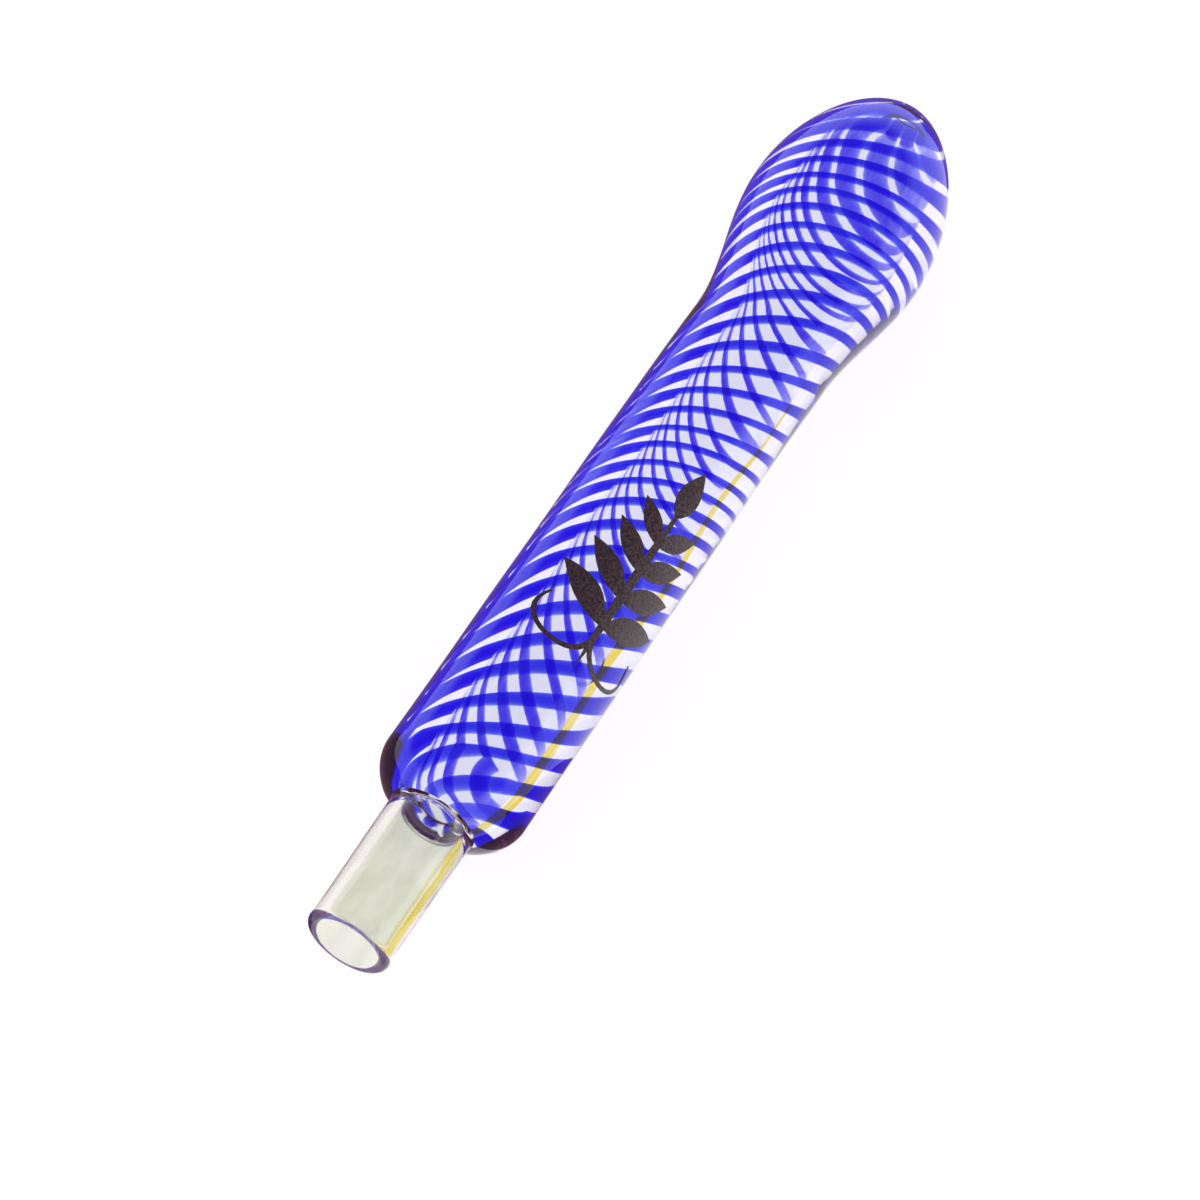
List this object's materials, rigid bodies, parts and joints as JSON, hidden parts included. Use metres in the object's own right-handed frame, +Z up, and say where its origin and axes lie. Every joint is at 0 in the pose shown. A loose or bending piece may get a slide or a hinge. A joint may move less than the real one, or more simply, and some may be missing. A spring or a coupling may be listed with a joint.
{
  "type": "glass hose mouthpiece",
  "caption": "Hand-worked glass mouthpiece for a hose: clear stem, thick clear body with twisted cobalt threads, and an egg-shaped bulb with a mouth hole.",
  "frame": {"origin": "on the axis at the shoulder, in the plane where the stem meets the body and a pushed-on hose stops", "axes": "+X along the axis from the stem to the mouth tip, +Z up when the piece lies on a table"},
  "size_m": [0.1755, 0.0317, 0.0316],
  "materials": {
    "clear_glass": "fire-polished clear glass",
    "stem_glass": "fire-polished clear glass with a faint grey-green cast",
    "cobalt_glass": "transparent cobalt-blue glass",
    "enamel": "dark grey-brown fired enamel"
  },
  "bodies": {
    "root": {"clear_body": "clear_glass", "stem_tube": "stem_glass", "sprig_print": "enamel", "cane_1": "cobalt_glass", "cane_2": "cobalt_glass", "cane_3": "cobalt_glass", "cane_4": "cobalt_glass", "cane_5": "cobalt_glass", "cane_6": "cobalt_glass", "cane_7": "cobalt_glass"}
  },
  "joints": []
}
